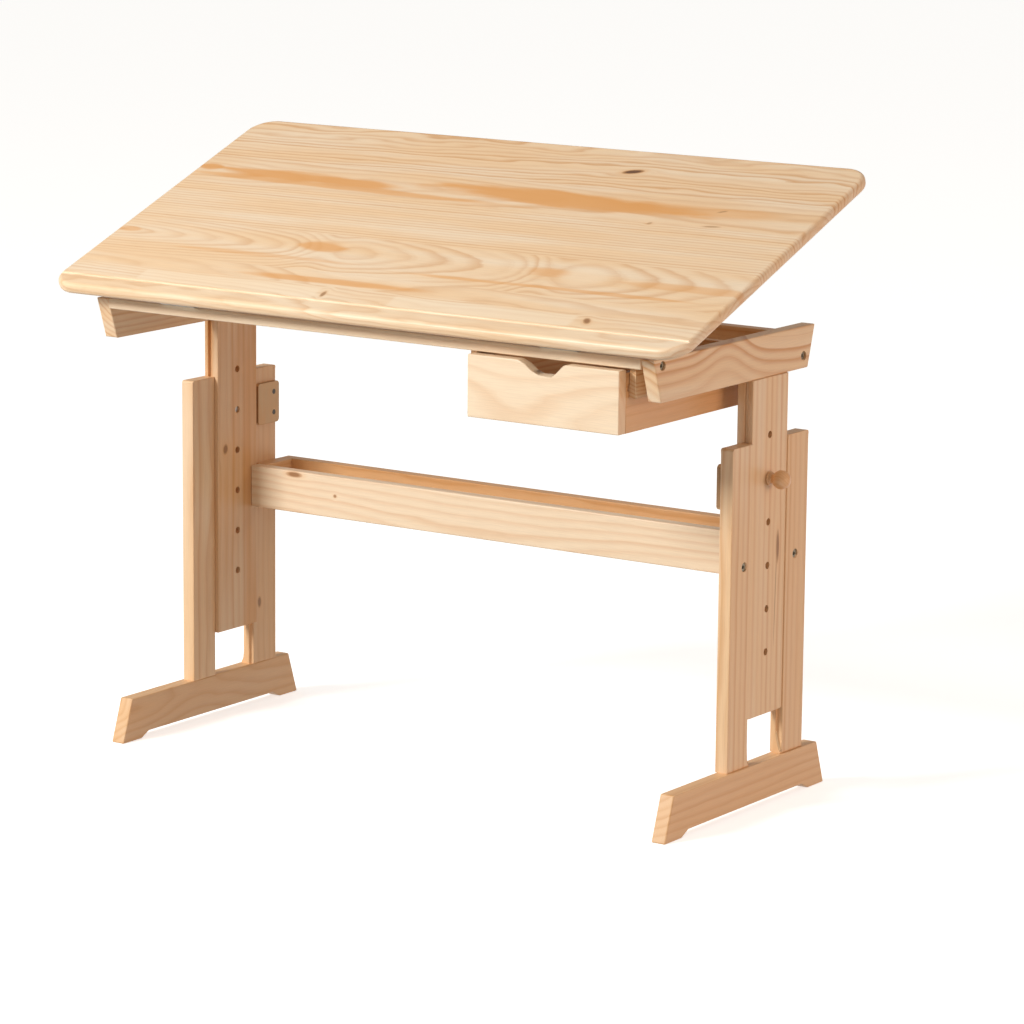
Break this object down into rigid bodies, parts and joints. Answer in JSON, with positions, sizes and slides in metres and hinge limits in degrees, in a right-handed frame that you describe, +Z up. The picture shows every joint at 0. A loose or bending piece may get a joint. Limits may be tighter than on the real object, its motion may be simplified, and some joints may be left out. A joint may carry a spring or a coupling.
{
  "type": "drafting table",
  "caption": "Solid pine drafting table: tilting top with a pencil groove, a frame on pinned height posts, a drawer under the right half and T-shaped legs.",
  "frame": {"origin": "on the floor, under the middle of the object's box as it stands in the rest pose", "axes": "+X to the user's right along the top's long side, +Y away from the user toward the high edge of the top, +Z up"},
  "size_m": [1.09, 0.5154, 0.8957],
  "materials": {
    "top_pine": "clear satin lacquer on edge-glued solid pine",
    "leg_pine": "clear satin lacquer on solid pine",
    "frame_pine": "clear satin lacquer on solid pine",
    "drawer_pine": "clear satin lacquer on solid pine",
    "turned_pine": "turned and lacquered",
    "plywood": "sanded, thin lacquer",
    "beech": "fluted dowel, bare",
    "zinc_steel": "bright zinc plate",
    "dark_steel": "dark phosphate"
  },
  "bodies": {
    "lower_frame": {"foot_left": "leg_pine", "foot_right": "leg_pine", "upright_front_left": "leg_pine", "upright_front_right": "leg_pine", "upright_rear_left": "leg_pine", "upright_rear_right": "leg_pine", "plate_left": "plywood", "plate_right": "plywood", "plate_screws": "dark_steel", "end_block_left": "frame_pine", "end_block_right": "frame_pine", "stretcher_front": "frame_pine", "stretcher_rear": "frame_pine", "leg_bolts": "zinc_steel", "foot_dowels": "beech", "stretcher_dowels": "beech"},
    "upper_frame": {"post_left": "leg_pine", "post_right": "leg_pine", "side_rail_left": "frame_pine", "side_rail_right": "frame_pine", "front_rail": "frame_pine", "rear_rail": "frame_pine", "runner_left": "frame_pine", "runner_right": "frame_pine", "rail_bolts": "zinc_steel", "barrel_nuts": "zinc_steel", "post_dowels": "beech", "hinge_rail_leaves": "zinc_steel", "hinge_pins": "zinc_steel", "hinge_rail_screws": "dark_steel", "stay_guide_left": "frame_pine", "stay_guide_right": "frame_pine", "guide_screws": "dark_steel"},
    "top": {"tabletop": "top_pine", "batten_left": "frame_pine", "batten_right": "frame_pine", "hinge_top_leaves": "zinc_steel", "hinge_top_screws": "dark_steel", "stay_left": "zinc_steel", "stay_right": "zinc_steel", "stay_screws": "dark_steel", "batten_screws": "dark_steel"},
    "drawer": {"drawer_front": "drawer_pine", "drawer_side_left": "drawer_pine", "drawer_side_right": "drawer_pine", "drawer_back": "drawer_pine", "drawer_bottom": "plywood"},
    "left_knob": {"knob_left": "turned_pine", "knob_pin_left": "zinc_steel"},
    "right_knob": {"knob_right": "turned_pine", "knob_pin_right": "zinc_steel"}
  },
  "joints": [
    {"name": "height", "type": "slide", "parent": "lower_frame", "child": "upper_frame", "axis": [0, 0, 1], "range_m": [-0.0625, 0.1875]},
    {"name": "tilt", "type": "hinge", "parent": "upper_frame", "child": "top", "pos_m": [0, -0.23637, 0.686], "axis": [1, 0, 0], "range_deg": [-21.1, 0]},
    {"name": "drawer_slide", "type": "slide", "parent": "upper_frame", "child": "drawer", "axis": [0, -1, 0], "range_m": [0, 0.26]},
    {"name": "left_knob_pull", "type": "slide", "parent": "upper_frame", "child": "left_knob", "axis": [-1, 0, 0], "range_m": [0, 0.026]},
    {"name": "right_knob_pull", "type": "slide", "parent": "upper_frame", "child": "right_knob", "axis": [1, 0, 0], "range_m": [0, 0.026]}
  ]
}
